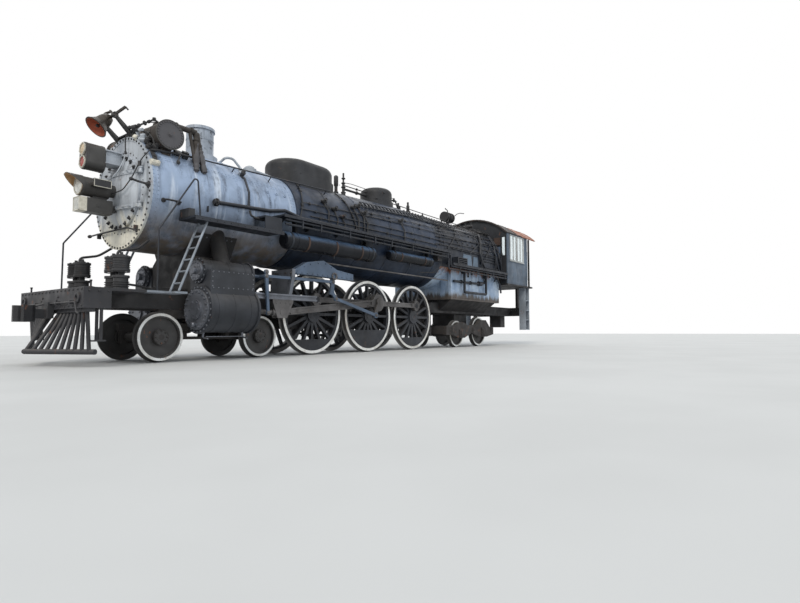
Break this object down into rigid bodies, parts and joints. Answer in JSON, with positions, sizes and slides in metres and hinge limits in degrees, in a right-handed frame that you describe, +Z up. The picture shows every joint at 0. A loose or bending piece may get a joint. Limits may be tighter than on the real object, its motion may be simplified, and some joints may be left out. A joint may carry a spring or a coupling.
{
  "type": "steam locomotive",
  "caption": "Large passenger steam engine without its tender: silver smokebox, long black boiler, spoked coupled driving wheels, side and main rods, swivelling trucks and an open-backed cab.",
  "frame": {"origin": "centre of the bounding box's base, at the bottom of the wheel flanges", "axes": "+X forward towards the pilot, +Y to the engine's left, +Z up"},
  "size_m": [18.45, 3.2156, 5.229],
  "materials": {
    "silver_paint": "satin, streaked",
    "boiler_black": "satin",
    "frame_black": "dusty satin",
    "wheel_black": "satin",
    "tyre_steel": "white-painted rims",
    "rod_steel": "dull",
    "cab_black": "satin",
    "roof_rust": "rusted",
    "glass": "clear",
    "fitting_dark": "dull",
    "lamp_dark": "satin",
    "bell_metal": "painted, red inside",
    "stack_silver": "satin"
  },
  "bodies": {
    "engine": {"engine_frame": "frame_black", "pilot_beam": "frame_black", "pilot_bars": "frame_black", "front_coupler": "fitting_dark", "cylinder_saddle": "frame_black", "cylinders": "boiler_black", "cylinder_heads": "silver_paint", "crosshead_guides": "rod_steel", "valve_gear": "rod_steel", "smokebox": "silver_paint", "smokebox_front": "silver_paint", "stack": "stack_silver", "feedwater_heater": "fitting_dark", "bell_bracket": "fitting_dark", "boiler_jacket": "boiler_black", "firebox": "boiler_black", "ashpan": "frame_black", "sand_dome": "boiler_black", "steam_dome": "boiler_black", "boiler_fittings": "fitting_dark", "running_boards": "frame_black", "handrails": "fitting_dark", "steps": "frame_black", "air_reservoirs": "boiler_black", "pipework": "fitting_dark", "air_pumps": "fitting_dark", "brake_gear": "frame_black", "cab_front": "cab_black", "cab_side_left": "cab_black", "cab_side_right": "cab_black", "cab_roof": "roof_rust", "cab_floor": "frame_black", "cab_glass": "glass", "backhead": "fitting_dark"},
    "smokebox_door": {"smokebox_door": "silver_paint", "headlight": "lamp_dark", "signal_light": "lamp_dark"},
    "bell": {"bell": "bell_metal"},
    "leading_truck": {"leading_truck_frame": "frame_black"},
    "leading_axle_front": {"leading_wheelset_front": "wheel_black"},
    "leading_axle_rear": {"leading_wheelset_rear": "wheel_black"},
    "trailing_truck": {"trailing_truck_frame": "frame_black"},
    "trailing_axle_front": {"trailing_wheelset_front": "wheel_black"},
    "trailing_axle_rear": {"trailing_wheelset_rear": "wheel_black"},
    "driver_front": {"front_driver_tyres": "tyre_steel", "front_driver_centres": "wheel_black"},
    "driver_main": {"main_driver_tyres": "tyre_steel", "main_driver_centres": "wheel_black"},
    "driver_rear": {"rear_driver_tyres": "tyre_steel", "rear_driver_centres": "wheel_black"},
    "side_rods_left": {"side_rods_left": "rod_steel"},
    "side_rods_right": {"side_rods_right": "rod_steel"},
    "crosshead_left": {"crosshead_left": "rod_steel"},
    "crosshead_right": {"crosshead_right": "rod_steel"},
    "main_rod_left": {"main_rod_left": "rod_steel"},
    "main_rod_right": {"main_rod_right": "rod_steel"}
  },
  "joints": [
    {"name": "leading_truck_swivel", "type": "hinge", "parent": "engine", "child": "leading_truck", "pos_m": [5.94, 0, 0.829], "axis": [0, 0, 1], "range_deg": [-4, 4]},
    {"name": "leading_axle_front_spin", "type": "hinge", "parent": "leading_truck", "child": "leading_axle_front", "pos_m": [7.105, 0, 0.486], "axis": [0, 1, 0], "continuous": true},
    {"name": "leading_axle_rear_spin", "type": "hinge", "parent": "leading_truck", "child": "leading_axle_rear", "pos_m": [4.775, 0, 0.486], "axis": [0, 1, 0], "continuous": true},
    {"name": "trailing_truck_swivel", "type": "hinge", "parent": "engine", "child": "trailing_truck", "pos_m": [-2.375, 0, 0.729], "axis": [0, 0, 1], "range_deg": [-3, 3]},
    {"name": "trailing_axle_front_spin", "type": "hinge", "parent": "trailing_truck", "child": "trailing_axle_front", "pos_m": [-3.875, 0, 0.486], "axis": [0, 1, 0], "continuous": true},
    {"name": "trailing_axle_rear_spin", "type": "hinge", "parent": "trailing_truck", "child": "trailing_axle_rear", "pos_m": [-5.495, 0, 0.5625], "axis": [0, 1, 0], "continuous": true},
    {"name": "driver_main_spin", "type": "hinge", "parent": "engine", "child": "driver_main", "pos_m": [0.975, 0, 1.0195], "axis": [0, 1, 0], "continuous": true},
    {"name": "driver_front_spin", "type": "hinge", "parent": "engine", "child": "driver_front", "pos_m": [3.135, 0, 1.0195], "axis": [0, 1, 0], "continuous": true},
    {"name": "driver_rear_spin", "type": "hinge", "parent": "engine", "child": "driver_rear", "pos_m": [-1.185, 0, 1.0195], "axis": [0, 1, 0], "continuous": true},
    {"name": "side_rods_left_turn", "type": "hinge", "parent": "driver_main", "child": "side_rods_left", "pos_m": [0.975, 0.91, 1.375], "axis": [0, 1, 0], "continuous": true},
    {"name": "side_rods_right_turn", "type": "hinge", "parent": "driver_main", "child": "side_rods_right", "pos_m": [1.3305, -0.91, 1.0195], "axis": [0, 1, 0], "continuous": true},
    {"name": "crosshead_left_slide", "type": "slide", "parent": "engine", "child": "crosshead_left", "axis": [1, 0, 0], "range_m": [-0.337, 0.373]},
    {"name": "crosshead_right_slide", "type": "slide", "parent": "engine", "child": "crosshead_right", "axis": [1, 0, 0], "range_m": [-0.711, 0]},
    {"name": "main_rod_left_swing", "type": "hinge", "parent": "crosshead_left", "child": "main_rod_left", "pos_m": [4.4569, 1.13, 1.0195], "axis": [0, 1, 0], "range_deg": [-11.6, 0]},
    {"name": "main_rod_right_swing", "type": "hinge", "parent": "crosshead_right", "child": "main_rod_right", "pos_m": [4.8305, -1.13, 1.0195], "axis": [0, 1, 0], "range_deg": [-5.8, 5.8]},
    {"name": "smokebox_door_swing", "type": "hinge", "parent": "engine", "child": "smokebox_door", "pos_m": [7.555, 0.79, 3.299], "axis": [0, 0, 1], "range_deg": [0, 100]},
    {"name": "bell_swing", "type": "hinge", "parent": "engine", "child": "bell", "pos_m": [7.815, 0, 4.719], "axis": [0, 1, 0], "range_deg": [-18, 102]}
  ],
  "couplings": [
    {"joint": "driver_front_spin", "follows": "driver_main_spin", "ratio": 1},
    {"joint": "driver_rear_spin", "follows": "driver_main_spin", "ratio": 1},
    {"joint": "side_rods_left_turn", "follows": "driver_main_spin", "ratio": -1},
    {"joint": "side_rods_right_turn", "follows": "driver_main_spin", "ratio": -1}
  ]
}
